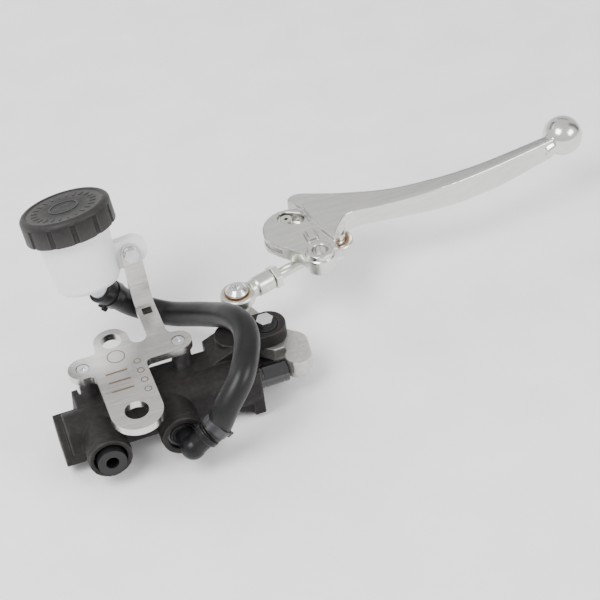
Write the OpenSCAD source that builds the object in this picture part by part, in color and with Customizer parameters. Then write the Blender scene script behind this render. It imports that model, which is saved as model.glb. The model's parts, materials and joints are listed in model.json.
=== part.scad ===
// Hydraulic master cylinder for a scooter handlebar headset: cylinder with reservoir, feed
// hose, mounting bracket, rocker, adjustable pull rod and hand lever.
// Frame: millimetres, +Z up. X runs along the bore toward the lever, Y away from the rider's
// side of the bracket, Z along the bracket's plate normal. The origin is the centre of the
// bracket's front hole on the plate's top face.

/* [Bracket] */
// thickness of the stainless plate
plate_t = 4; // [3:0.5:5]
// radius of the rounded front end
front_lobe_r = 13; // [11:0.5:15]
// diameter of the front mounting hole
front_hole_d = 12; // [8:0.5:14]
// distance from the front hole to the rear hole
rear_hole_y = 52.5; // [48:0.5:58]
// diameter of the rear mounting hole
rear_hole_d = 10.6; // [8:0.1:12]
// width of the arm that carries the reservoir
arm_w = 10; // [8:1:14]
// inside radius of the arm's bend
arm_bend_r = 8; // [6:1:12]
// angle the arm is bent up from the plate
arm_bend = 72; // [60:1:85]
// distance from the end of the bend to the reservoir screw
arm_len = 20; // [16:1:30]

/* [Standoffs] */
// X of the left standoff
stand_lx = -17.5; // [-19:0.5:-16]
// X of the right standoff
stand_rx = 31.7; // [30:0.1:33]
// Y of both standoffs
stand_y = 39; // [38:0.5:40]
// standoff diameter
stand_d = 10.5; // [9:0.5:12]
// standoff height
stand_h = 12; // [12:1:12]

/* [Cylinder body] */
// nominal bore diameter
bore_d = 12.7; // [11:0.1:16]
// Y of the bore axis
bore_y = 23; // [22:0.5:24]
// Z of the bore axis
bore_z = -26; // [-27:0.5:-25]
// radius of the cast barrel
barrel_r = 11.8; // [10:0.1:12.5]
// left end of the body
body_x0 = -38; // [-44:1:-36]
// right end of the body, where the piston comes out
body_x1 = 65; // [64:1:66]
// X of the outlet port
outlet_x = -17.6; // [-19:0.1:-16]
// X of the inlet port
inlet_x = 19.4; // [18:0.1:21]
// radius of the port bosses
port_r = 10.8; // [10:0.1:11.5]
// upward tilt of the ports
port_tilt = 5; // [0:1:10]
// distance of the port faces from the bore axis
port_h = 26; // [24:0.1:28]

/* [Piston] */
// radial clearance of the piston in its bore
piston_gap = 0.04; // [0.02:0.01:0.08]
// X of the piston's outer end at rest
piston_x1 = 81; // [80:0.1:82]

/* [Rocker] */
// X of the rocker pivot
rock_x = 77.5; // [77:0.1:78]
// Y of the rocker pivot
rock_y = 42.5; // [42:0.1:43]
// underside of the rocker
rock_z0 = -26; // [-26:0.1:-26]
// thickness of the rocker plate
rock_t = 7.5; // [7:0.1:7.6]
// radius of the pushing end
lobe_r = 6; // [5:0.1:7]

/* [Pull rod] */
// X of the rocker eye
eye1_x = 70.5; // [70:0.1:71]
// Y of the rocker eye
eye1_y = 66; // [65:0.1:67]
// X of the lever eye
eye2_x = 131.4; // [130:0.1:132]
// Y of the lever eye
eye2_y = 84.1; // [83:0.1:85]
// height of the rod axis
rod_z = -8; // [-8:0.1:-8]
// outside radius of both eyes
eye_r = 9; // [8:0.1:9.5]

/* [Lever] */
// X of the lever pivot hole
lever_x = 116.5; // [116:0.1:117]
// Y of the lever pivot hole
lever_y = 64.9; // [64:0.1:66]
// diameter of the pivot hole
lever_hole_d = 8; // [6:0.1:9]
// top face of the lever
lever_z1 = 8; // [7.5:0.1:8.5]
// diameter of the ball on the end
ball_d = 21.8; // [18:0.2:23]

/* [Reservoir] */
// distance from the reservoir axis to its mounting screw
res_off = 23.8; // [23:0.1:25]
// lean of the reservoir about its screw
res_lean = 4; // [0:1:8]
// outside radius of the cap
cap_r = 23.5; // [22:0.1:25]
// height of the cap
cap_h = 13; // [12:0.5:16]
// outside radius at the top of the body
res_r = 18.5; // [17:0.1:19]

/* [Feed hose] */
// outside diameter of the hose
hose_d = 13; // [11:0.5:13]
// inside diameter of the hose
hose_bore = 6.4; // [5:0.1:7]

/* [Hidden] */
$fn = 64;
e = 0.01;
br = bore_d / 2;
pr = br - piston_gap;
stand_z = -plate_t - stand_h;
rock_z1 = rock_z0 + rock_t;
rod_dir = [eye2_x - eye1_x, eye2_y - eye1_y, 0];
rod_len = norm(rod_dir);
rod_az = atan2(rod_dir.y, rod_dir.x);
cap_z = 21;

// centre line of the feed hose, from the reservoir to the inlet elbow, where it ends at hose_in
hose_route = [[7.2, 83.2, 5.8], [11.2, 84.2, 0.6], [20, 86.4, -10.8], [36, 80.5, -18.2],
  [51.6, 60.4, -8.2], [60.9, 37.6, 4.9], [62.2, 18, 8.6], [53, -3, 5.6], [41.5, -10.8, -4.6],
  [35.8, -10.8, -14.6], [31.6, -10.8, -17.6]];
hose_in = [31.6, -10.8, -17.6];
elbow_corner = [21.5, -11, -24.6];

// ---------- helpers ----------
module at(x, y, z = 0) { translate([x, y, z]) children(); }

// straight 2-D bar with rounded ends
module bar(x0, y0, x1, y1, r0, r1) {
  a = atan2(y1 - y0, x1 - x0);
  len = norm([x1 - x0, y1 - y0]);
  translate([x0, y0]) rotate(a) union() {
    polygon([[0, -r0], [len, -r1], [len, r1], [0, r0]]);
    circle(r = r0);
    translate([len, 0]) circle(r = r1);
  }
}

// fills an inner corner with a fillet; sx, sy give the open quadrant
module fillet(x, y, sx, sy, r) {
  translate([x, y]) scale([sx, sy]) difference() {
    translate([-e, -e]) square(r + e);
    translate([r, r]) circle(r = r);
  }
}

// cylinder along X
module xcyl(x0, x1, r, r2 = -1) {
  translate([x0, bore_y, bore_z]) rotate([0, 90, 0])
    cylinder(r1 = r, r2 = r2 < 0 ? r : r2, h = x1 - x0);
}

// ring along X around the bore axis
module xring(x0, x1, r, ri) {
  translate([x0, bore_y, bore_z]) rotate([0, 90, 0]) difference() {
    cylinder(r = r, h = x1 - x0);
    translate([0, 0, -1]) cylinder(r = ri, h = x1 - x0 + 2);
  }
}

module tube(r, ri, h) {
  difference() {
    cylinder(r = r, h = h);
    translate([0, 0, -1]) cylinder(r = ri, h = h + 2);
  }
}

module hexagon(af, h) { cylinder(r = af / sqrt(3), h = h, $fn = 6); }

// local +Z points along d
module along(p, d) {
  translate(p) rotate([0, acos(d.z / norm(d)), atan2(d.y, d.x)]) children();
}

function unit(v) = v / norm(v);

// spline through control points
function spl(a, b, c, d, t) = 0.5 * ((2 * b) + (c - a) * t + (2 * a - 5 * b + 4 * c - d) * t * t
  + (3 * b - a - 3 * c + d) * t * t * t);
function curve(P, n = 5) = [for (i = [0 : len(P) - 2]) for (k = [0 : n - 1])
  spl(P[max(i - 1, 0)], P[i], P[i + 1], P[min(i + 2, len(P) - 1)], k / n)];

// ring of n points of radius r around point i of route P
function hoop(P, i, r, n) = let (t = unit(P[min(i + 1, len(P) - 1)] - P[max(i - 1, 0)]),
  u = unit(cross(t, [0, 0, 1])), v = cross(u, t))
  [for (j = [0 : n - 1]) P[i] + r * (cos(360 * j / n) * u + sin(360 * j / n) * v)];

// skin over the route; a second, inner skin makes it a hose
module swept(P, r, ri = 0, n = 24) {
  m = len(P);
  outer = [for (i = [0 : m - 1]) each hoop(P, i, r, n)];
  inner = ri > 0 ? [for (i = [0 : m - 1]) each hoop(P, i, ri, n)] : [];
  sides = [for (i = [0 : m - 2]) for (j = [0 : n - 1]) let (a = i * n + j,
    b = i * n + (j + 1) % n) each [[a, b, b + n], [a, b + n, a + n]]];
  back = [for (f = sides) [f[0] + m * n, f[2] + m * n, f[1] + m * n]];
  ends = ri > 0 ? [for (j = [0 : n - 1]) let (k = (j + 1) % n, q = (m - 1) * n)
      each [[j, j + m * n, k + m * n], [j, k + m * n, k],
        [q + j, q + k + m * n, q + j + m * n], [q + j, q + k, q + k + m * n]]]
    : [[for (j = [n - 1 : -1 : 0]) j], [for (j = [0 : n - 1]) (m - 1) * n + j]];
  polyhedron(concat(outer, inner), concat(sides, ri > 0 ? back : [], ends));
}

// local z runs up the bent arm, y is its outward normal
module arm_frame() {
  translate([23.3, 69.5, arm_bend_r]) rotate([arm_bend - 90, 0, 0]) children();
}

// local z is the reservoir's axis, the origin is level with its screw
module res_frame() {
  arm_frame() translate([0, arm_bend_r + plate_t + 3.5, arm_len]) rotate([0, -res_lean, 0])
    translate([-res_off, 0, 0]) children();
}

// local z leaves a port outward, the origin is on the bore axis
module port_frame(x) {
  translate([x, bore_y, bore_z]) rotate([90 - port_tilt, 0, 0]) children();
}

// local x runs along the pull rod from the rocker eye
module rod_frame() { at(eye1_x, eye1_y, rod_z) rotate([0, 0, rod_az]) children(); }

// ---------- bracket ----------
module plate_outline() {
  difference() {
    union() {
      circle(r = front_lobe_r);
      translate([-front_lobe_r, 0]) square([2 * front_lobe_r, 46]);
      bar(stand_lx, stand_y, 0, stand_y, 7.4, 7.4);
      bar(0, stand_y, stand_rx, stand_y, 6.9, 6.9);
      at(0.5, rear_hole_y) circle(r = 9);
      translate([-8.5, 44]) square([18, rear_hole_y - 44]);
      translate([23.3 - arm_w / 2, 40]) square([arm_w, 69.5 - 40]);
      fillet(-front_lobe_r, 31.6, -1, -1, 3);
      fillet(front_lobe_r, 32.1, 1, -1, 3);
      fillet(-8.5, 46.4, -1, 1, 2.5);
      fillet(9.5, 45.9, 1, 1, 4.4);
      fillet(23.3 - arm_w / 2, 45.9, -1, 1, 4.4);
      fillet(23.3 + arm_w / 2, 45.9, 1, 1, 3.5);
    }
    circle(d = front_hole_d);
    at(0.5, rear_hole_y) circle(d = rear_hole_d);
    translate([23.3 - 2.5, 64.4]) square([5, 5]);
  }
}

module bracket_plate() color("Gainsboro") {
  difference() {
    translate([0, 0, -plate_t]) linear_extrude(plate_t) plate_outline();
    for (x = [stand_lx, stand_rx]) at(x, stand_y, -plate_t - 1) {
      cylinder(d = 4.4, h = plate_t + 2);
      translate([0, 0, 1 + 1.6]) cylinder(d = 6.9, h = plate_t);
    }
    for (y = [12, 19, 26, 33]) at(9, y, -0.25) tube(1.9, 1.4, 1);
    for (y = [16, 22.5, 29]) translate([-8, y, -0.25]) cube([11, 1.1, 1]);
    at(0, 40.5, -0.25) tube(4.6, 4.1, 1);
  }
  translate([23.3, 69.5, arm_bend_r]) rotate([90, 0, 90]) rotate([0, 0, -90])
    rotate_extrude(angle = arm_bend) translate([arm_bend_r, -arm_w / 2])
      square([plate_t, arm_w]);
  arm_frame() difference() {
    translate([0, arm_bend_r + plate_t, 0]) rotate([90, 0, 0]) linear_extrude(plate_t)
      union() {
        translate([-arm_w / 2, -e]) square([arm_w, arm_len]);
        translate([0, arm_len]) circle(r = arm_w / 2);
      }
    translate([0, 0, arm_len]) rotate([-90, 0, 0]) cylinder(d = 5.2, h = 40);
  }
}

module standoffs() color("Silver")
  for (x = [stand_lx, stand_rx]) at(x, stand_y, stand_z) difference() {
    cylinder(d = stand_d, h = stand_h);
    translate([0, 0, -1]) cylinder(d = 4.4, h = stand_h + 2);
  }

module standoff_screws() color("Silver")
  for (x = [stand_lx, stand_rx]) at(x, stand_y, -plate_t + 1.6) {
    difference() {
      cylinder(d = 6.4, h = 2.2);
      translate([0, 0, 1]) hexagon(2.5, 3);
    }
    translate([0, 0, -1.6 - stand_h - 8]) cylinder(d = 4, h = 1.6 + stand_h + 8 + e);
  }

// ---------- cylinder body ----------
module end_block() {
  translate([body_x0, 0, 0]) rotate([90, 0, 90]) linear_extrude(11.5)
    polygon([[35, -20.5], [28.5, -20.5], [15.5, -26.5], [11.5, -30], [11.5, -34.5], [15, -38],
      [33, -38], [37, -34], [37, -22.5]]);
}

module clevis() {
  translate([0, 0, -18]) linear_extrude(8) bar(60, rock_y, rock_x + 1, rock_y, 9.5, 9.5);
  translate([0, 0, -34.6]) linear_extrude(8) bar(60, 41, rock_x, 41.6, 9.5, 9);
  translate([0, 50.4, 0]) rotate([90, 0, 0]) linear_extrude(19.4)
    polygon([[45, -16], [58.5, -10], [63, -10], [63, -34.6], [50, -34.6], [45, -30]]);
}

module cylinder_body() color("DimGray") difference() {
  union() {
    xcyl(body_x0 + 4, body_x1 - 1, barrel_r);
    end_block();
    // top rail
    translate([0, 43.5, 0]) rotate([90, 0, 0]) linear_extrude(13.5)
      polygon([[-27, -33], [-25.4, stand_z], [46, stand_z], [60, -20], [60, -33]]);
    // front of the rail down to the barrel
    translate([-20, 22, -28]) cube([72, 9, 12]);
    for (x = [outlet_x, inlet_x]) port_frame(x) {
      cylinder(r = port_r, h = port_h);
      translate([0, 0, port_h - 6]) cylinder(r1 = port_r, r2 = port_r + 0.4, h = 3);
    }
    clevis();
    // end flange
    translate([body_x1 - 6, 12, -40]) cube([6, 26, 27.5]);
    translate([0, 34, 0]) rotate([90, 0, 0]) linear_extrude(20)
      polygon([[50, -36], [59.5, -40], [59.5, -18], [50, -20]]);
  }
  // main bore, open at the right
  xcyl(-30, body_x1 + 10, br);
  xcyl(body_x1 - 3.2, body_x1 - 1.8, br + 1);
  // outlet port: recess, thread, drilling
  port_frame(outlet_x) {
    translate([0, 0, port_h - 8]) cylinder(r = 8.4, h = 20);
    translate([0, 0, port_h - 18]) cylinder(r = 4.4, h = 20);
    cylinder(r = 1.6, h = port_h);
  }
  // inlet port: recess for elbow and circlip, two drillings into the bore
  port_frame(inlet_x) {
    translate([0, 0, port_h - 9]) cylinder(r = 7.8, h = 20);
    translate([0, 0, port_h - 3.2]) cylinder(r = 8.6, h = 1.3);
    translate([0, 0, port_h - 15]) cylinder(r = 5, h = 20);
    translate([3, 0, 0]) cylinder(r = 1.5, h = port_h);
    translate([-3.4, 0, 0]) cylinder(r = 0.4, h = port_h, $fn = 16);
  }
  // tapped holes under the standoffs
  for (x = [stand_lx, stand_rx]) at(x, stand_y, -27) cylinder(d = 4.2, h = 20);
  // rocker pivot through both ears, room for the rocker, seat for its washer
  at(rock_x, rock_y, -60) cylinder(d = 6.1, h = 80);
  at(rock_x, rock_y, -11) cylinder(r = 6.6, h = 5);
  // room for the rocker between the ears
  translate([63.5, 30, rock_z0 - 0.4]) cube([40, 30, rock_t + 0.8]);
}

module outlet_plug() color("Black") port_frame(outlet_x) difference() {
  union() {
    translate([0, 0, port_h - 16]) cylinder(r = 4.3, h = 10);
    translate([0, 0, port_h - 7.9]) cylinder(r = 7.2, h = 11);
    translate([0, 0, port_h - 7.9]) cylinder(r = 8, h = 2);
  }
  translate([0, 0, port_h - 6]) cylinder(r = 3.2, h = 20);
}

module inlet_elbow() color("Black") {
  neck = [inlet_x, bore_y - (port_h - 5) * cos(port_tilt),
    bore_z + (port_h - 5) * sin(port_tilt)];
  leg = hose_in - elbow_corner;
  difference() {
    union() {
      port_frame(inlet_x) {
        translate([0, 0, port_h - 14]) cylinder(r = 4.4, h = 10);
        translate([0, 0, port_h - 6.4]) cylinder(r = 7.2, h = 2.9);
      }
      along(neck, elbow_corner - neck) cylinder(r = 5.2, h = norm(elbow_corner - neck));
      translate(elbow_corner) sphere(r = 6.2);
      along(elbow_corner, leg) {
        cylinder(r = 5.7, h = norm(leg) - 0.6);
        translate([0, 0, norm(leg) - 4.5]) cylinder(r = 7, h = 3);
        cylinder(r = 2.8, h = norm(leg) + 5);
      }
    }
    port_frame(inlet_x) translate([0, 0, port_h - 15]) cylinder(r = 2, h = 10.5);
    along(neck, elbow_corner - neck) translate([0, 0, -0.4])
      cylinder(r = 1.9, h = norm(elbow_corner - neck) + 0.4);
    translate(elbow_corner) sphere(r = 2.3);
    along(elbow_corner, leg) cylinder(r = 1.8, h = norm(leg) + 9);
  }
}

module inlet_seal() color("DarkSlateGray") port_frame(inlet_x)
  translate([0, 0, port_h - 8.9]) tube(7.6, 4.6, 2.3);

module inlet_circlip() color("DimGray") port_frame(inlet_x)
  translate([0, 0, port_h - 3.1]) difference() {
    tube(8.4, 6.6, 1.1);
    translate([0, 5, -1]) cube([4, 10, 4]);
  }

// ---------- piston and what rides with it ----------
module piston() color("Black") difference() {
  union() {
    xcyl(12.2, 19.2, 2.4);
    xcyl(19, 22, pr);
    xcyl(22, 46, 4.3);
    xcyl(46, 48, pr);
    xcyl(48, 51, 4.4);
    xcyl(51, 61, pr);
    xcyl(61, 63.8, 5.4);
    xcyl(63.8, piston_x1 - 0.6, 5.9);
    xcyl(piston_x1 - 0.6, piston_x1, 5.9, 5.3);
  }
  xring(67.2, 68, 8, 5.6);
  xring(77.4, 78.2, 8, 5.6);
  // flow holes through the front land
  for (a = [0 : 60 : 300]) translate([18, bore_y, bore_z]) rotate([a, 0, 0])
    translate([0, 4.6, 0]) rotate([0, 90, 0]) cylinder(r = 0.5, h = 6, $fn = 16);
}

module primary_cup() color("DarkSlateGray") difference() {
  xring(14.6, 18.9, 6.32, 2.5);
  xring(13, 16.6, 5.2, 3.6);
}

module secondary_seal() color("DarkSlateGray") difference() {
  xring(48.2, 50.8, 6.32, 4.45);
  xring(47, 49.4, 5.7, 5);
}

module spring_seat() color("Silver") difference() {
  union() {
    xring(13.4, 14.5, 5.2, 2.45);
    xring(9.4, 13.5, 3.3, 2.45);
  }
}

module return_spring() color("Silver") {
  coils = 8;
  pitch = 4.7;
  swept([for (k = [0 : 16 * coils]) let (a = k * 22.5)
    [-27.2 + pitch * k / 16, bore_y + 4.5 * cos(a), bore_z + 4.5 * sin(a)]], 0.6, 0, 8);
}

module piston_stop() color("DimGray") xring(body_x1 - 3.1, body_x1 - 1.9, br + 0.9, 6.05);

// ---------- rocker ----------
module rocker() color("LightGray") {
  difference() {
    at(0, 0, rock_z0) linear_extrude(rock_t) union() {
      bar(rock_x, rock_y, eye1_x, eye1_y, 8.5, 6.8);
      bar(rock_x, rock_y, 87.6, 33, 8.5, 8.3);
      bar(87.6, 33, 87.15, 23.6, 8.3, lobe_r + 1.5);
    }
    at(rock_x, rock_y, -40) cylinder(r = 4.05, h = 40);
    at(eye1_x, eye1_y, -40) cylinder(r = 2.6, h = 40);
    // the plate stands back from the piston, only the lobe reaches it
    translate([60, 5, -40]) cube([23, 26, 40]);
  }
  at(87.15, 23.6, -30) cylinder(r = lobe_r, h = 11.5);
}

module rocker_bush() color("Peru")
  at(rock_x, rock_y, rock_z0 - 0.2) tube(4, 3.06, rock_t + 0.4);

module rocker_bolt() color("Silver") at(rock_x, rock_y, 0) {
  translate([0, 0, -10]) hexagon(8, 3.6);
  translate([0, 0, -42]) cylinder(r = 3, h = 32 + e);
}

module rocker_washer() color("Black") at(rock_x, rock_y, -11) tube(6.2, 3.1, 1);

module rocker_nut() color("Silver") at(rock_x, rock_y, -39.8) difference() {
  hexagon(10, 5.1);
  translate([0, 0, -1]) cylinder(r = 3.02, h = 8);
}

// ---------- pull rod ----------
// the hollow of an eye: a straight bore with a liner pressed in
module eye_ring() {
  rotate_extrude() polygon([[6.6, -3], [eye_r - 0.8, -3], [eye_r, -2.2], [eye_r, 2.2],
    [eye_r - 0.8, 3], [6.6, 3]]);
}

module liner() {
  difference() {
    rotate_extrude() translate([5.3, -2.8]) square([1.28, 5.6]);
    sphere(r = 5.56);
  }
}

module ball() {
  difference() {
    intersection() {
      sphere(r = 5.5);
      translate([0, 0, -3.6]) cylinder(r = 7, h = 7.2);
    }
    translate([0, 0, -5]) cylinder(r = 3.06, h = 10);
  }
}

module eye1_housing() color("DarkGray") rod_frame() {
  difference() {
    union() {
      eye_ring();
      rotate([0, 90, 0]) translate([0, 0, 7.6]) cylinder(r = 4.7, h = 4);
      rotate([0, 90, 0]) translate([0, 0, 10.4]) cylinder(r1 = 4.7, r2 = 5.4, h = 1.2);
      rotate([0, 90, 0]) translate([0, 0, 11.5]) cylinder(r = 5.4, h = 9);
      rotate([0, 90, 0]) translate([0, 0, 20.4]) cylinder(r1 = 5.4, r2 = 4.8, h = 0.9);
    }
    translate([0, 0, -5]) cylinder(r = 6.6, h = 10);
    rotate([0, 90, 0]) translate([0, 0, 9]) cylinder(r = 3.1, h = 30);
  }
}

module eye1_liner() color("Peru") rod_frame() liner();
module eye1_ball() color("Silver") rod_frame() ball();

module eye1_screw() color("Silver") at(eye1_x, eye1_y, 0) {
  difference() {
    union() {
      translate([0, 0, rod_z + 3.6]) cylinder(r = 5.9, h = 1);
      translate([0, 0, rod_z + 4.6]) cylinder(r1 = 5.9, r2 = 3.6, h = 2.2);
    }
    translate([0, 0, rod_z + 4.8]) hexagon(3.6, 4);
  }
  translate([0, 0, rock_z1 + 0.02]) cylinder(r = 3, h = rod_z + 3.6 - rock_z1);
  translate([0, 0, rock_z0 + 0.6]) cylinder(r = 2.5, h = 7);
}

module eye1_spacer() color("DarkGray")
  at(eye1_x, eye1_y, rock_z1 + 0.05) tube(5, 3.06, rod_z - 3.7 - rock_z1);

module rod_nut() color("DarkGray") rod_frame() rotate([0, 90, 0]) translate([0, 0, 21.4])
  difference() {
    hexagon(11.4, 3.6);
    translate([0, 0, -1]) cylinder(r = 3.02, h = 6);
  }

module eye2_housing() color("DarkGray") rod_frame() {
  translate([rod_len, 0, 0]) difference() {
    union() {
      eye_ring();
      rotate([0, -90, 0]) translate([0, 0, 7.6]) cylinder(r1 = 3.8, r2 = 3.2, h = 4.4);
    }
    translate([0, 0, -5]) cylinder(r = 6.6, h = 10);
  }
  rotate([0, 90, 0]) translate([0, 0, 12]) cylinder(r = 3, h = rod_len - 21);
}

module eye2_liner() color("Peru") rod_frame() translate([rod_len, 0, 0]) liner();
module eye2_ball() color("Silver") rod_frame() translate([rod_len, 0, 0]) ball();

module eye2_bolt() color("Silver") at(eye2_x, eye2_y, rod_z) {
  translate([0, 0, -8.5]) hexagon(9, 3.8);
  translate([0, 0, -4.8]) cylinder(r = 3, h = 16.4);
}

module eye2_washer() color("Silver") at(eye2_x, eye2_y, rod_z - 4.65) tube(5.4, 3.1, 1);

// ---------- lever ----------
blade_back = [[262, 102.6], [244, 99.6], [220, 96], [196, 94.8], [168, 97], [144.6, 104.3],
  [131, 110], [122, 114], [116.6, 113.6], [114, 110.6]];
blade_front = [[127, 71], [131.8, 79.4], [137.8, 85.6], [146, 87.2], [157.3, 85.6], [180, 84.6],
  [202.8, 85.8], [227.7, 89.6], [253.6, 95], [262, 96.8]];
head_edge = [[94.8, 94], [94.4, 88], [98.6, 80.8], [103, 75.6], [107.6, 69.6], [108.9, 65]];
side_low = [[100, -3.2], [136, -4.3], [152, -3.6], [168, -4.4], [191, -6.6], [215, -7.6],
  [236, -6.8], [254, -5], [264, -4.2]];

module blade_outline() polygon(concat(curve(blade_back), [[114, 110.6], [119.5, 103],
  [120.8, 92], [122.6, 83.5], [126, 72.5]], curve(blade_front), [[262, 96.8]]));

module head_outline() {
  at(110, 91.6) circle(r = 15.4);
  polygon(concat([[110, 91.6]], curve(head_edge), [[108.9, 65], [116.5, 62], [124.4, 66],
    [127, 71], [131.8, 79.4], [137.8, 85.6], [140, 92], [128, 108]]));
  at(lever_x, lever_y) circle(r = 7.9);
}

module lever() color("Silver") difference() {
  union() {
    intersection() {
      translate([0, 0, -12]) linear_extrude(19.5) blade_outline();
      translate([0, 130, 0]) rotate([90, 0, 0]) linear_extrude(80)
        polygon(concat(curve(side_low), [[264, -4.2], [264, 7.6], [100, 7.6]]));
    }
    translate([0, 0, -3.4]) linear_extrude(8.4) head_outline();
    at(lever_x, lever_y, -3.4) cylinder(r = 6.9, h = lever_z1 + 3.4);
    at(lever_x, lever_y, -4.4) cylinder(r = 6, h = 3);
    at(eye2_x, eye2_y, -4.2) cylinder(r = 5, h = 4);
    translate([114.4, 76, 2]) cube([5.2, 7.4, 5]);
    translate([270.6, 103.4, 3.4]) sphere(d = ball_d);
    along([256, 97.6, 1], [14.6, 5.4, 1.8]) cylinder(r1 = 4.6, r2 = 5.6, h = 10);
  }
  at(lever_x, lever_y, -20) cylinder(d = lever_hole_d, h = 40);
  at(eye2_x, eye2_y, -20) cylinder(r = 3.02, h = 24);
  // pocket for the cable barrel and the cable's groove
  translate([0, 0, -1]) linear_extrude(12) bar(109.6, 101, 114.2, 97.6, 4.2, 4.6);
  translate([0, 0, -0.6]) linear_extrude(3) difference() {
    at(110, 91.6) circle(r = 16);
    at(110, 91.6) circle(r = 12.6);
    translate([104, 70]) square([40, 60]);
    translate([90, 97]) square([40, 60]);
  }
  at(104, 102, 4.6) tube(2, 1.5, 1);
}

module cable_barrel() color("Peru") at(109.8, 100.6, -0.9) tube(3.3, 1, 5);

// ---------- reservoir ----------
// local z runs down the outlet spigot and into the hose
module spigot_frame() {
  d = unit(hose_route[1] - hose_route[0]);
  along(hose_route[0] - 6.9 * d, d) children();
}

module reservoir() color("WhiteSmoke") difference() {
  union() {
    res_frame() {
      rotate_extrude() polygon([[0, -10.5], [13.4, -10.5], [15.6, -9.6], [16.8, -7.4],
        [res_r, 18.6], [20.4, 20.8], [20.4, 30], [18.7, 30], [18.7, 21.6], [res_r - 1.8, 19],
        [15.1, -6.9], [13, -8.6], [0, -8.6]]);
      // ear for the bracket
      translate([15.4, -3.4, -7]) cube([res_off + 2.6 - 15.4, 6.8, 14]);
      translate([res_off + 2.6, 3.4, 0]) rotate([90, 0, 0]) cylinder(r = 7, h = 6.8);
    }
    spigot_frame() {
      cylinder(r = 5.2, h = 3.6);
      cylinder(r = 2.8, h = 12.6);
    }
  }
  spigot_frame() translate([0, 0, -3]) cylinder(r = 1.9, h = 30);
  res_frame() translate([res_off, 20, 0]) rotate([90, 0, 0]) cylinder(d = 5.2, h = 40);
}

module reservoir_cap() color("DimGray") res_frame() difference() {
  rotate_extrude() polygon([[0, cap_z + cap_h - 0.6], [18.4, cap_z + cap_h - 0.6],
    [19, cap_z + cap_h], [21.6, cap_z + cap_h], [cap_r, cap_z + cap_h - 2], [cap_r, cap_z],
    [20.8, cap_z], [20.8, 31.9], [0, 31.9]]);
  for (a = [0 : 30 : 330]) rotate(a) translate([cap_r - 0.6, -1.2, cap_z - 1])
    cube([4, 2.4, cap_h - 1]);
  translate([0, 0, cap_z + cap_h - 0.9]) {
    tube(15.6, 15, 2);
    for (a = [0 : 60 : 300]) rotate(a) translate([12, 0, 0]) cylinder(r = 1.2, h = 2, $fn = 24);
    tube(7, 6.2, 2);
  }
}

module slip_disc() color("White") res_frame() translate([0, 0, 31.25]) tube(20.3, 3, 0.55);

module diaphragm() color("DarkSlateGray") res_frame() rotate_extrude()
  polygon([[20.3, 30.05], [20.3, 31.2], [0, 31.2], [0, 30.2], [10.6, 30.2], [10.6, 23],
    [11.8, 23], [11.8, 30.2], [16, 30.2], [16, 23.6], [17.2, 23.6], [17.2, 30.05]]);

module reservoir_screw() color("Silver") arm_frame() translate([0, 0, arm_len])
  rotate([-90, 0, 0]) {
    translate([0, 0, arm_bend_r - 3]) hexagon(7, 3);
    translate([0, 0, arm_bend_r - 1]) cylinder(r = 4.1, h = 1);
    translate([0, 0, arm_bend_r - e]) cylinder(r = 2.5, h = 17);
  }

module reservoir_nut() color("Silver") arm_frame() translate([0, 0, arm_len])
  rotate([-90, 0, 0]) translate([0, 0, arm_bend_r + plate_t + 7]) difference() {
    hexagon(8, 4);
    translate([0, 0, -1]) cylinder(r = 2.52, h = 6);
  }

// ---------- feed hose ----------
module feed_hose() color("Black")
  swept(concat(curve(hose_route, 6), [hose_in]), hose_d / 2, hose_bore / 2);

module clip(p, d, r) {
  along(p, d) {
    tube(r + 0.8, r + 0.05, 4.5);
    translate([r - 0.2 + 0.9, -2.2, 0.6]) cube([2.2, 1, 3.3]);
    translate([r - 0.2 + 0.9, 1.2, 0.6]) cube([2.2, 1, 3.3]);
  }
}

module hose_clip_upper() color("DimGray") clip(hose_route[0]
  + 2 * unit(hose_route[1] - hose_route[0]), hose_route[1] - hose_route[0], hose_d / 2);

module hose_clip_lower() color("DimGray") clip(hose_in
  + 2 * unit(hose_route[9] - hose_in), hose_route[9] - hose_in, hose_d / 2);

// ---------- output ----------
bracket_plate();
standoffs();
standoff_screws();
cylinder_body();
outlet_plug();
inlet_elbow();
inlet_seal();
inlet_circlip();
piston();
primary_cup();
secondary_seal();
spring_seat();
return_spring();
piston_stop();
rocker();
rocker_bush();
rocker_bolt();
rocker_washer();
rocker_nut();
eye1_housing();
eye1_liner();
eye1_ball();
eye1_screw();
eye1_spacer();
rod_nut();
eye2_housing();
eye2_liner();
eye2_ball();
eye2_bolt();
eye2_washer();
lever();
cable_barrel();
reservoir();
reservoir_cap();
slip_disc();
diaphragm();
reservoir_screw();
reservoir_nut();
feed_hose();
hose_clip_upper();
hose_clip_lower();
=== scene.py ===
"""Brake master cylinder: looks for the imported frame. Blender 4.5, metres, +Z up."""

import bmesh
import bpy
import json
import math
from mathutils import Matrix, Vector


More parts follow.
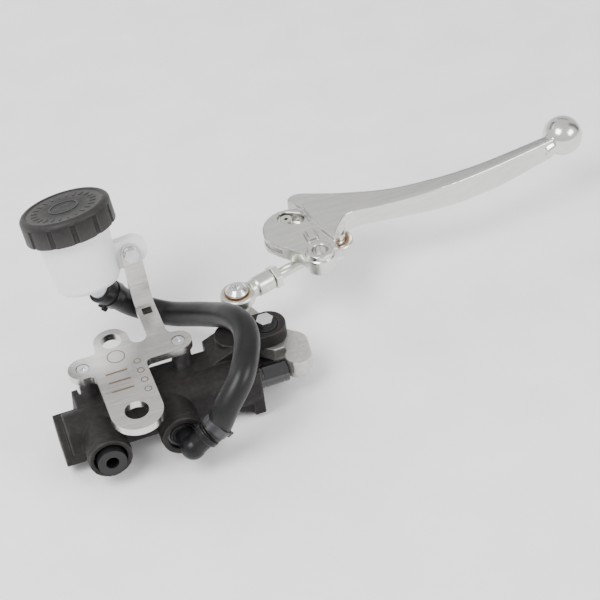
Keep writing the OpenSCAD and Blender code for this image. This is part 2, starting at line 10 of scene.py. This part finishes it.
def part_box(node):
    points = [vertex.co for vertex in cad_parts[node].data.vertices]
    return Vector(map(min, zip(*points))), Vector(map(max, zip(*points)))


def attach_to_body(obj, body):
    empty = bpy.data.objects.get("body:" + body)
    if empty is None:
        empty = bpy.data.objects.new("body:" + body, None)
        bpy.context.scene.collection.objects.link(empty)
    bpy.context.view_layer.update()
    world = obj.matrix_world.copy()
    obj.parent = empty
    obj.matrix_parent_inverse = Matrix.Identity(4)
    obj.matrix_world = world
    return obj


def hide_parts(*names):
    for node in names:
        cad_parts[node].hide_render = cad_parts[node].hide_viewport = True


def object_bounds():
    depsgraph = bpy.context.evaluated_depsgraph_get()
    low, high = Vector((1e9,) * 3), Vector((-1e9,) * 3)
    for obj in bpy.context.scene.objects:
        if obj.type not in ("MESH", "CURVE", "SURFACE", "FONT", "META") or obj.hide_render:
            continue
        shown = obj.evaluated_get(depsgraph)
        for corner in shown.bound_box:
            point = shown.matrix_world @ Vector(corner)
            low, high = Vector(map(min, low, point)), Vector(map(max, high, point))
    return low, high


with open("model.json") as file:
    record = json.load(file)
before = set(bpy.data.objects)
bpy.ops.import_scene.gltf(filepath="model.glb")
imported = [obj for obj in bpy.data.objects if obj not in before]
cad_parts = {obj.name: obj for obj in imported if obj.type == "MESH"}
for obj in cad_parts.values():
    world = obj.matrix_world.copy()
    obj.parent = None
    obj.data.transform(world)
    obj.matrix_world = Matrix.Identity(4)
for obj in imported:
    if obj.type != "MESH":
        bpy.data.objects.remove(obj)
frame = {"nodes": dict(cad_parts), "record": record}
cad_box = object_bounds()
nodes = frame["nodes"]
body_of = {n: b for b, ns in frame["record"]["behaviour"]["bodies"].items() for n in ns}
slot_of = {s["node"]: s["material_slot"] for s in frame["record"]["subparts"]}
MM = 0.001

CAMERA_PLACE = (-0.0648, -0.6110, 0.5943)
CAMERA_AZIMUTH, CAMERA_ELEVATION, CAMERA_ROLL = -13.92, 41.5, -7.57
CAMERA_LENS = 106.8
FLOOR_GAP = 0.0005
FLOOR_REACH = 6
EDGE_WIDTH = 0.25  # bevel of the crisp pieces, mm
EDGE_ANGLE = 30
HOSE_R = 6.45  # mm
HOSE_BORE_R = 3.2
HOSE_SWELL = 0.35  # how much wider it is over a spigot
SWELL_REACH = 7
CAP_TO_BOTTOM = 35.6  # from the cap's frame to the reservoir's bottom, mm
CAP_GROOVES = 12
CAP_TICKS = 24


# ---------- camera and light ----------
def aim(azimuth, elevation, roll):
    """Rotation of a camera that looks at the part from azimuth and elevation."""
    a, e = math.radians(azimuth), math.radians(elevation)
    back = Vector((math.sin(a) * math.cos(e), -math.cos(a) * math.cos(e), math.sin(e)))
    right = Vector((math.cos(a), math.sin(a), 0))
    up = back.cross(right)
    turn = Matrix.Rotation(math.radians(roll), 3, back)
    right, up = turn @ right, turn @ up
    return Matrix((right, up, back)).transposed()


def camera():
    data = bpy.data.cameras.new("camera")
    data.sensor_width = 36
    data.lens = CAMERA_LENS
    data.clip_start, data.clip_end = 0.05, 20
    obj = bpy.data.objects.new("camera", data)
    rotation = aim(CAMERA_AZIMUTH, CAMERA_ELEVATION, CAMERA_ROLL)
    obj.matrix_world = Matrix.Translation(CAMERA_PLACE) @ rotation.to_4x4()
    bpy.context.collection.objects.link(obj)
    bpy.context.scene.camera = obj


def area_light(name, place, target, size, power):
    data = bpy.data.lights.new(name, "AREA")
    data.shape = "RECTANGLE"
    data.size, data.size_y = size
    data.energy = power
    obj = bpy.data.objects.new(name, data)
    obj.location = place
    obj.rotation_euler = (Vector(target) - Vector(place)).to_track_quat("-Z", "Y").to_euler()
    bpy.context.collection.objects.link(obj)


def studio():
    middle = (0.08, 0.04, -0.01)
    area_light("key", (-0.5, -0.3, 1.1), middle, (0.6, 0.6), 15)
    area_light("fill", (0.9, -0.7, 0.7), middle, (0.6, 0.4), 8)
    area_light("rim", (-0.5, 1.1, 0.8), middle, (0.9, 0.5), 8)
    world = bpy.data.worlds.new("studio")
    world.use_nodes = True
    background = world.node_tree.nodes["Background"]
    background.inputs["Color"].default_value = (1, 1, 1, 1)
    background.inputs["Strength"].default_value = 1.0
    bpy.context.scene.world = world


def board(name, corners, material):
    """A flat sheet of the set, not part of the object."""
    mesh = bpy.data.meshes.new(name)
    mesh.from_pydata(corners, [], [(0, 1, 2, 3)])
    obj = bpy.data.objects.new(name, mesh)
    bpy.context.collection.objects.link(obj)
    obj.data.materials.append(material)
    return obj


def floor():
    z = cad_box[0].z - FLOOR_GAP
    r = FLOOR_REACH
    board("floor", [(-r, -r, z), (r, -r, z), (r, r, z), (-r, r, z)],
          finish("floor", (0.93, 0.93, 0.93), rough=(0.75, 0.8), grain=30, bump=0.0))


def card(name, place, size, shade_of_grey):
    """A grey board that only reflections show, so it hides nothing from another side."""
    w, h = size
    obj = board(name, [(-w, -h, 0), (w, -h, 0), (w, h, 0), (-w, h, 0)],
                finish(name, (shade_of_grey,) * 3, rough=(0.8, 0.9), bump=0))
    obj.location = place
    obj.rotation_euler = (Vector((0.1, 0.05, 0)) - Vector(place)).to_track_quat("Z", "Y").to_euler()
    obj.visible_camera = False
    obj.visible_shadow = False


# ---------- materials ----------
def finish(name, colour, second=None, metal=0.0, rough=(0.3, 0.45), grain=400.0, bump=0.05,
           bump_grain=None, stretch=(1, 1, 1), tilt=(0, 0, 0), worn=None, coat=0.0, specular=0.5,
           through=0.0, depth=0.0002):
    """Metal, rubber or plastic with grain in its colour, roughness and surface."""
    mat = bpy.data.materials.new(name)
    mat.use_nodes = True
    tree = mat.node_tree
    link = tree.links.new
    shader = tree.nodes["Principled BSDF"]
    shader.inputs["Metallic"].default_value = metal
    shader.inputs["Coat Weight"].default_value = coat
    shader.inputs["Specular IOR Level"].default_value = specular
    shader.inputs["Subsurface Weight"].default_value = through
    shader.inputs["Subsurface Radius"].default_value = (0.006, 0.006, 0.007)
    coords = tree.nodes.new("ShaderNodeTexCoord")
    place = tree.nodes.new("ShaderNodeMapping")
    place.inputs["Scale"].default_value = stretch
    place.inputs["Rotation"].default_value = [math.radians(t) for t in tilt]
    link(coords.outputs["Object"], place.inputs["Vector"])

    def noise(scale, detail=5.0):
        n = tree.nodes.new("ShaderNodeTexNoise")
        n.inputs["Scale"].default_value = scale
        n.inputs["Detail"].default_value = detail
        link(place.outputs["Vector"], n.inputs["Vector"])
        return n.outputs["Fac"]

    def ramp(source, low, high, a, b):
        r = tree.nodes.new("ShaderNodeMapRange")
        for key, value in zip(("From Min", "From Max", "To Min", "To Max"), (low, high, a, b)):
            r.inputs[key].default_value = value
        link(source, r.inputs["Value"])
        return r.outputs["Result"]

    def mix(amount, a, b):
        m = tree.nodes.new("ShaderNodeMix")
        m.data_type = "RGBA"
        link(amount, m.inputs["Factor"])
        for socket, value in ((m.inputs["A"], a), (m.inputs["B"], b)):
            if isinstance(value, tuple):
                socket.default_value = (*value, 1)
            else:
                link(value, socket)
        return m.outputs["Result"]

    second = second or tuple(min(1, c * 1.18) for c in colour)
    tone = mix(ramp(noise(grain), 0.3, 0.7, 0, 1), colour, second)
    if worn:
        edge = tree.nodes.new("ShaderNodeNewGeometry")
        tone = mix(ramp(edge.outputs["Pointiness"], 0.51, 0.58, 0, 0.75), tone, worn)
    link(tone, shader.inputs["Base Color"])
    link(ramp(noise(grain * 0.6), 0.3, 0.7, *rough), shader.inputs["Roughness"])
    if bump:
        b = tree.nodes.new("ShaderNodeBump")
        b.inputs["Strength"].default_value = bump
        b.inputs["Distance"].default_value = depth
        link(noise(bump_grain or grain * 2, 3), b.inputs["Height"])
        link(b.outputs["Normal"], shader.inputs["Normal"])
    return mat


def materials():
    return {
        "stainless": finish("stainless", (0.60, 0.585, 0.56), (0.72, 0.70, 0.675), metal=1,
                            rough=(0.18, 0.27), grain=60, stretch=(1, 14, 14), bump=0.12,
                            bump_grain=420, depth=0.0001),
        "bright_steel": finish("bright_steel", (0.70, 0.70, 0.71), metal=1, rough=(0.12, 0.24),
                               grain=300, bump=0.04),
        "black_casting": finish("black_casting", (0.011, 0.010, 0.010), (0.022, 0.019, 0.018),
                                rough=(0.48, 0.62), grain=350, bump=0.5, bump_grain=1500,
                                worn=(0.075, 0.066, 0.06), specular=0.2),
        "black_plastic": finish("black_plastic", (0.007, 0.007, 0.008), rough=(0.28, 0.42),
                                grain=500, bump=0.15, worn=(0.035, 0.034, 0.034),
                                specular=0.24),
        "seal_rubber": finish("seal_rubber", (0.012, 0.012, 0.012), rough=(0.5, 0.6)),
        "spring_steel": finish("spring_steel", (0.07, 0.07, 0.075), metal=1, rough=(0.3, 0.4)),
        "black_anodised": finish("black_anodised", (0.010, 0.010, 0.012), rough=(0.10, 0.2),
                                 grain=80, stretch=(1, 8, 8), bump=0.04, coat=0.6),
        "cast_aluminium": finish("cast_aluminium", (0.47, 0.46, 0.43), (0.60, 0.59, 0.56),
                                 metal=0.85, rough=(0.42, 0.56), grain=500, bump=0.45,
                                 bump_grain=1700, worn=(0.75, 0.74, 0.72)),
        "bronze": finish("bronze", (0.42, 0.22, 0.11), (0.50, 0.30, 0.16), metal=1,
                         rough=(0.3, 0.45), grain=900, bump=0.1),
        "zinc_steel": finish("zinc_steel", (0.60, 0.61, 0.55), (0.70, 0.71, 0.66), metal=1,
                             rough=(0.28, 0.42), grain=380, bump=0.1, worn=(0.8, 0.8, 0.77)),
        "polished_aluminium": finish("polished_aluminium", (0.66, 0.65, 0.63),
                                     (0.74, 0.73, 0.71), metal=1, rough=(0.14, 0.24),
                                     grain=70, stretch=(1, 5, 5), tilt=(0, 0, -4), bump=0.1,
                                     bump_grain=480),
        "milky_plastic": finish("milky_plastic", (0.86, 0.87, 0.89), (0.9, 0.9, 0.91),
                                rough=(0.28, 0.38), grain=60, bump=0.06, bump_grain=500,
                                through=0.6),
        "cap_plastic": finish("cap_plastic", (0.014, 0.013, 0.013), (0.022, 0.020, 0.020),
                              rough=(0.42, 0.52), grain=400, bump=0.35, bump_grain=2200,
                              worn=(0.08, 0.076, 0.072), specular=0.22),
        "white_plastic": finish("white_plastic", (0.8, 0.8, 0.8), rough=(0.3, 0.4)),
        "burnt": finish("burnt", (0.10, 0.065, 0.04), rough=(0.5, 0.6), grain=900),
        "hose_rubber": finish("hose_rubber", (0.006, 0.006, 0.0065), (0.010, 0.010, 0.0105),
                              rough=(0.32, 0.44), grain=180, bump=0.12, bump_grain=1300,
                              specular=0.3),
    }


# ---------- mesh helpers ----------
def cap_frame():
    """Centre and axis of the reservoir cap's joint."""
    joints = frame["record"]["behaviour"]["joints"]
    joint = next(j for j in joints if j["name"] == "cap_turn")
    return Vector(joint["pos_m"]), Vector(joint["axis"]).normalized()


def band(bm, a, b):
    """Closes the strip between two rings of points."""
    for j in range(len(a)):
        k = (j + 1) % len(a)
        bm.faces.new((a[j], a[k], b[k], b[j]))


def made(name, bm):
    """A new object from a finished bmesh."""
    mesh = bpy.data.meshes.new(name)
    bm.to_mesh(mesh)
    bm.free()
    obj = bpy.data.objects.new(name, mesh)
    bpy.context.collection.objects.link(obj)
    return obj


def attach(obj, look, body):
    """Material and body of a piece that stands for no CAD node."""
    obj.data.materials.append(paint[look])
    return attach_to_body(obj, body)


def dress(obj, node):
    """Gives a new piece the body of the CAD node it stands for, and the material of that node's
    slot.
    """
    obj.data.materials.clear()
    obj.data.materials.append(paint[slot_of[node]])
    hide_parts(node)
    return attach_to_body(obj, body_of[node])


def copy_of(node):
    """A welded copy of a CAD node's mesh, as a new object."""
    mesh = nodes[node].data.copy()
    mesh.name = node + "_look"
    bm = bmesh.new()
    bm.from_mesh(mesh)
    bmesh.ops.remove_doubles(bm, verts=bm.verts, dist=2e-6)
    bm.to_mesh(mesh)
    bm.free()
    obj = bpy.data.objects.new(node + "_look", mesh)
    bpy.context.collection.objects.link(obj)
    return obj


def bake(obj):
    """Applies an object's modifiers."""
    graph = bpy.context.evaluated_depsgraph_get()
    mesh = bpy.data.meshes.new_from_object(obj.evaluated_get(graph))
    obj.modifiers.clear()
    obj.data = mesh


def shade(obj, sharp):
    """Smooth shading that stays sharp at steep edges."""
    bm = bmesh.new()
    bm.from_mesh(obj.data)
    for face in bm.faces:
        face.smooth = True
    for edge in bm.edges:
        edge.smooth = edge.calc_face_angle(0) < math.radians(sharp)
    bm.to_mesh(obj.data)
    bm.free()


def crisp(node):
    """The CAD shape with small rounded edges, as turned, stamped or moulded pieces have."""
    obj = copy_of(node)
    bm = bmesh.new()
    bm.from_mesh(obj.data)
    bmesh.ops.dissolve_limit(bm, angle_limit=math.radians(0.6), verts=bm.verts, edges=bm.edges)
    bm.to_mesh(obj.data)
    bm.free()
    bevel = obj.modifiers.new("edges", "BEVEL")
    bevel.width = EDGE_WIDTH * MM
    bevel.segments = 2
    bevel.limit_method = "ANGLE"
    bevel.angle_limit = math.radians(EDGE_ANGLE)
    bevel.use_clamp_overlap = True
    bevel.harden_normals = False
    bake(obj)
    shade(obj, 40)
    normals = obj.modifiers.new("normals", "WEIGHTED_NORMAL")
    normals.keep_sharp = True
    return dress(obj, node)


def cast(node, voxel, rounds, polish=None):
    """The CAD shape with the soft corners of a casting. polish(co) gives how much of the
    smoothing a point gets."""
    obj = copy_of(node)
    remesh = obj.modifiers.new("skin", "REMESH")
    remesh.mode = "VOXEL"
    remesh.voxel_size = voxel * MM
    bake(obj)
    relax = obj.modifiers.new("relax", "SMOOTH")
    relax.factor = 0.5
    relax.iterations = rounds
    if polish:
        group = obj.vertex_groups.new(name="polish")
        for v in obj.data.vertices:
            group.add([v.index], polish(v.co / MM), "REPLACE")
        relax.vertex_group = "polish"
    bake(obj)
    for polygon in obj.data.polygons:
        polygon.use_smooth = True
    return dress(obj, node)


# ---------- pieces ----------
def spline(points, steps):
    """Points on the smooth curve through the control points, as the CAD hose has."""
    out = []
    last = len(points) - 1
    for i in range(last):
        a, b, c, d = (Vector(points[k]) for k in (max(i - 1, 0), i, i + 1, min(i + 2, last)))
        for k in range(steps):
            t = k / steps
            out.append(0.5 * (2 * b + (c - a) * t + (2 * a - 5 * b + 4 * c - d) * t * t
                              + (3 * b - a - 3 * c + d) * t ** 3))
    return out + [Vector(points[-1])]


HOSE_ROUTE = [(7.2, 83.2, 5.8), (11.2, 84.2, 0.6), (20, 86.4, -10.8), (36, 80.5, -18.2),
              (51.6, 60.4, -8.2), (60.9, 37.6, 4.9), (62.2, 18, 8.6), (53, -3, 5.6),
              (41.5, -10.8, -4.6), (35.8, -10.8, -14.6), (31.6, -10.8, -17.6)]


def feed_hose():
    """Rubber hose, slightly swollen where it is pushed over the spigots."""
    route = spline([Vector(p) * MM for p in HOSE_ROUTE], 8)
    around = 40
    length = sum((b - a).length for a, b in zip(route, route[1:]))
    bm = bmesh.new()
    rings = []
    travelled = 0
    side = None
    for i, p in enumerate(route):
        if i:
            travelled += (p - route[i - 1]).length
        t = (route[min(i + 1, len(route) - 1)] - route[max(i - 1, 0)]).normalized()
        side = (Vector((0, 0, 1)).cross(t) if side is None else side - t * side.dot(t)).normalized()
        other = t.cross(side)
        from_end = min(travelled, length - travelled)
        swell = HOSE_SWELL * math.exp(-(from_end / (SWELL_REACH * MM)) ** 2)
        for radius in ((HOSE_R + swell) * MM, HOSE_BORE_R * MM):
            rings.append([bm.verts.new(p + radius * (math.cos(x) * side + math.sin(x) * other))
                          for x in (2 * math.pi * j / around for j in range(around))])
    outer, inner = rings[0::2], rings[1::2]
    for a, b in zip(outer, outer[1:]):
        band(bm, a, b)
    for a, b in zip(inner, inner[1:]):
        band(bm, b, a)
    band(bm, inner[0], outer[0])
    band(bm, outer[-1], inner[-1])
    bmesh.ops.recalc_face_normals(bm, faces=bm.faces)
    obj = made("feed_hose_look", bm)
    shade(obj, 50)
    dress(obj, "feed_hose")


def hose_boot():
    """Moulded cone that closes the hose's upper end against the reservoir's bottom."""
    centre, up = cap_frame()
    bottom = centre - up * CAP_TO_BOTTOM * MM
    start, on = Vector(HOSE_ROUTE[0]) * MM, Vector(HOSE_ROUTE[1]) * MM
    profile = [(5.6, -5.5), (7.2, -5.5), (7.5, -5.0), (7.3, -1.0), (6.9, 1.6), (6.55, 2.2),
               (6.5, 0.3), (5.6, 0.3)]
    obj = lathe("hose_boot", start, (on - start).normalized(), profile, 72)
    for v in obj.data.vertices:
        above = (v.co - bottom).dot(up)
        if above > 0:
            v.co -= above * up
    attach(obj, "hose_rubber", "cylinder")


def lever():
    """Cast and polished: crisp at the head, well rounded along the blade."""
    def polish(co):
        return min(1, max(0.12, (co.x - 124) / 22))
    cast("lever", voxel=0.45, rounds=18, polish=polish)


def lathe(name, centre, axis, profile, around, radius=None):
    """A turned piece round an axis; profile is a closed list of (radius, height) in mm, and
    radius(r, z, angle) may change it locally."""
    turn = Vector((0, 0, 1)).rotation_difference(axis)
    bm = bmesh.new()
    rings = []
    for r, z in profile:
        ring = []
        for j in range(around):
            a = 2 * math.pi * j / around
            rr = radius(r, z, a) if radius else r
            point = Vector((rr * math.cos(a), rr * math.sin(a), z)) * MM
            ring.append(bm.verts.new(centre + turn @ point))
        rings.append(ring)
    for a, b in zip(rings, rings[1:] + rings[:1]):
        band(bm, a, b)
    bmesh.ops.remove_doubles(bm, verts=bm.verts, dist=1e-7)
    bmesh.ops.recalc_face_normals(bm, faces=bm.faces)
    obj = made(name, bm)
    shade(obj, 28)
    return obj


def marks(name, body, look, centre, axis, rings, dashes, height):
    """Plain raised marks: rings are (x, y, inner, outer), dashes are (x, y, length, width,
    angle), all in mm in the plane across the axis."""
    turn = Vector((0, 0, 1)).rotation_difference(axis)
    bm = bmesh.new()

    def prism(outline):
        low, high = [[bm.verts.new(centre + turn @ (Vector((x, y, z)) * MM))
                      for x, y in outline] for z in (0, height)]
        bm.faces.new(high)
        bm.faces.new(low[::-1])
        band(bm, low, high)

    for x, y, inner, outer in rings:
        count = 40
        for j in range(count):
            a, b = (2 * math.pi * t / count for t in (j, j + 1))
            prism([(x + r * math.cos(t), y + r * math.sin(t))
                   for r, t in ((inner, a), (outer, a), (outer, b), (inner, b))])
    for x, y, length, width, angle in dashes:
        c, s = math.cos(angle), math.sin(angle)
        prism([(x + u * c - v * s, y + u * s + v * c) for u, v in
               ((-length / 2, -width / 2), (length / 2, -width / 2),
                (length / 2, width / 2), (-length / 2, width / 2))])
    bmesh.ops.remove_doubles(bm, verts=bm.verts, dist=1e-7)
    return attach(made(name, bm), look, body)


def reservoir_cap():
    """Screw cap with twelve shallow grip grooves, a rounded rim and plain marks on top."""
    centre, axis = cap_frame()
    step = 2 * math.pi / CAP_GROOVES

    def grip(r, z, a):
        if r < 22.5 or z > 6.2:
            return r
        off = abs((a + step / 2) % step - step / 2) * r
        depth = 0.6 * min(1, max(0, (1.5 - off) / 0.4))
        return r - depth * min(1, (6.2 - z) / 0.8)

    outer = [(20.9, -4), (23.2, -4), (23.5, -3.7), (23.5, 5.4), (23.5, 5.8), (23.5, 6.2),
             (23.5, 6.8), (23.25, 7.6), (22.7, 8.3), (22.0, 8.8), (21.2, 9.0), (20.4, 9.0),
             (19.8, 8.8), (19.4, 8.4), (0.01, 8.4), (0.01, 6.95), (20.9, 6.95)]
    dress(lathe("reservoir_cap_look", centre, axis, outer, 480, grip), "reservoir_cap")
    dashes = [(15.4 * math.cos(a), 15.4 * math.sin(a), 3.2, 0.8, a)
              for a in (2 * math.pi * k / CAP_TICKS for k in range(CAP_TICKS))]
    marks("cap_marks", "cap", "black_plastic", centre + axis * 8.35 * MM, axis,
          rings=[(0, 0, 7.0, 7.8)], dashes=dashes, height=0.3)


def plate_marks():
    """Dark inlays in the plate's cut circles and bars."""
    rings = [(9, y, 1.42, 1.88) for y in (12, 19, 26, 33)] + [(0, 40.5, 4.12, 4.58)]
    dashes = [(-2.5, y + 0.55, 10.9, 1.0, 0) for y in (16, 22.5, 29)]
    marks("plate_marks", "cylinder", "burnt", Vector((0, 0, -0.24 * MM)),
          Vector((0, 0, 1)), rings, dashes, 0.2)


def inlet_grommet():
    """Rubber lip that closes the inlet port round the elbow."""
    low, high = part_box("inlet_circlip")
    tilt = math.radians(5)
    axis = Vector((0, -math.cos(tilt), math.sin(tilt)))
    profile = [(4.4, -1.2), (6.5, -1.2), (6.5, 0.9), (6.2, 1.4), (5.7, 1.5), (5.3, 1.2),
               (5.0, 1.6), (4.4, 1.6)]
    obj = lathe("inlet_grommet", (low + high) / 2, axis, profile, 64)
    attach(obj, "black_plastic", "cylinder")


paint = materials()
camera()
studio()
floor()
card("card_back", (-0.12, 0.62, 0.40), (0.28, 0.13), 0.05)
card("card_blade", (0.55, 0.62, 0.40), (0.24, 0.08), 0.22)
card("card_right", (0.85, 0.15, 0.25), (0.12, 0.4), 0.1)
feed_hose()
hose_boot()
lever()
cast("cylinder_body", voxel=0.42, rounds=4)
cast("rocker", voxel=0.35, rounds=5)
cast("inlet_elbow", voxel=0.28, rounds=8)
cast("eye1_housing", voxel=0.28, rounds=4)
cast("eye2_housing", voxel=0.28, rounds=4)
reservoir_cap()
plate_marks()
inlet_grommet()
for name in ("bracket_plate", "standoffs", "standoff_screws", "outlet_plug",
             "inlet_circlip", "piston", "rocker_bolt", "rocker_washer", "rocker_nut",
             "eye1_screw", "eye1_spacer", "rod_nut",
             "eye2_bolt", "eye2_washer", "reservoir", "reservoir_screw",
             "reservoir_nut", "cable_barrel"):
    crisp(name)
for name, obj in nodes.items():
    if not obj.hide_render:
        obj.data.materials.clear()
        obj.data.materials.append(paint[slot_of[name]])
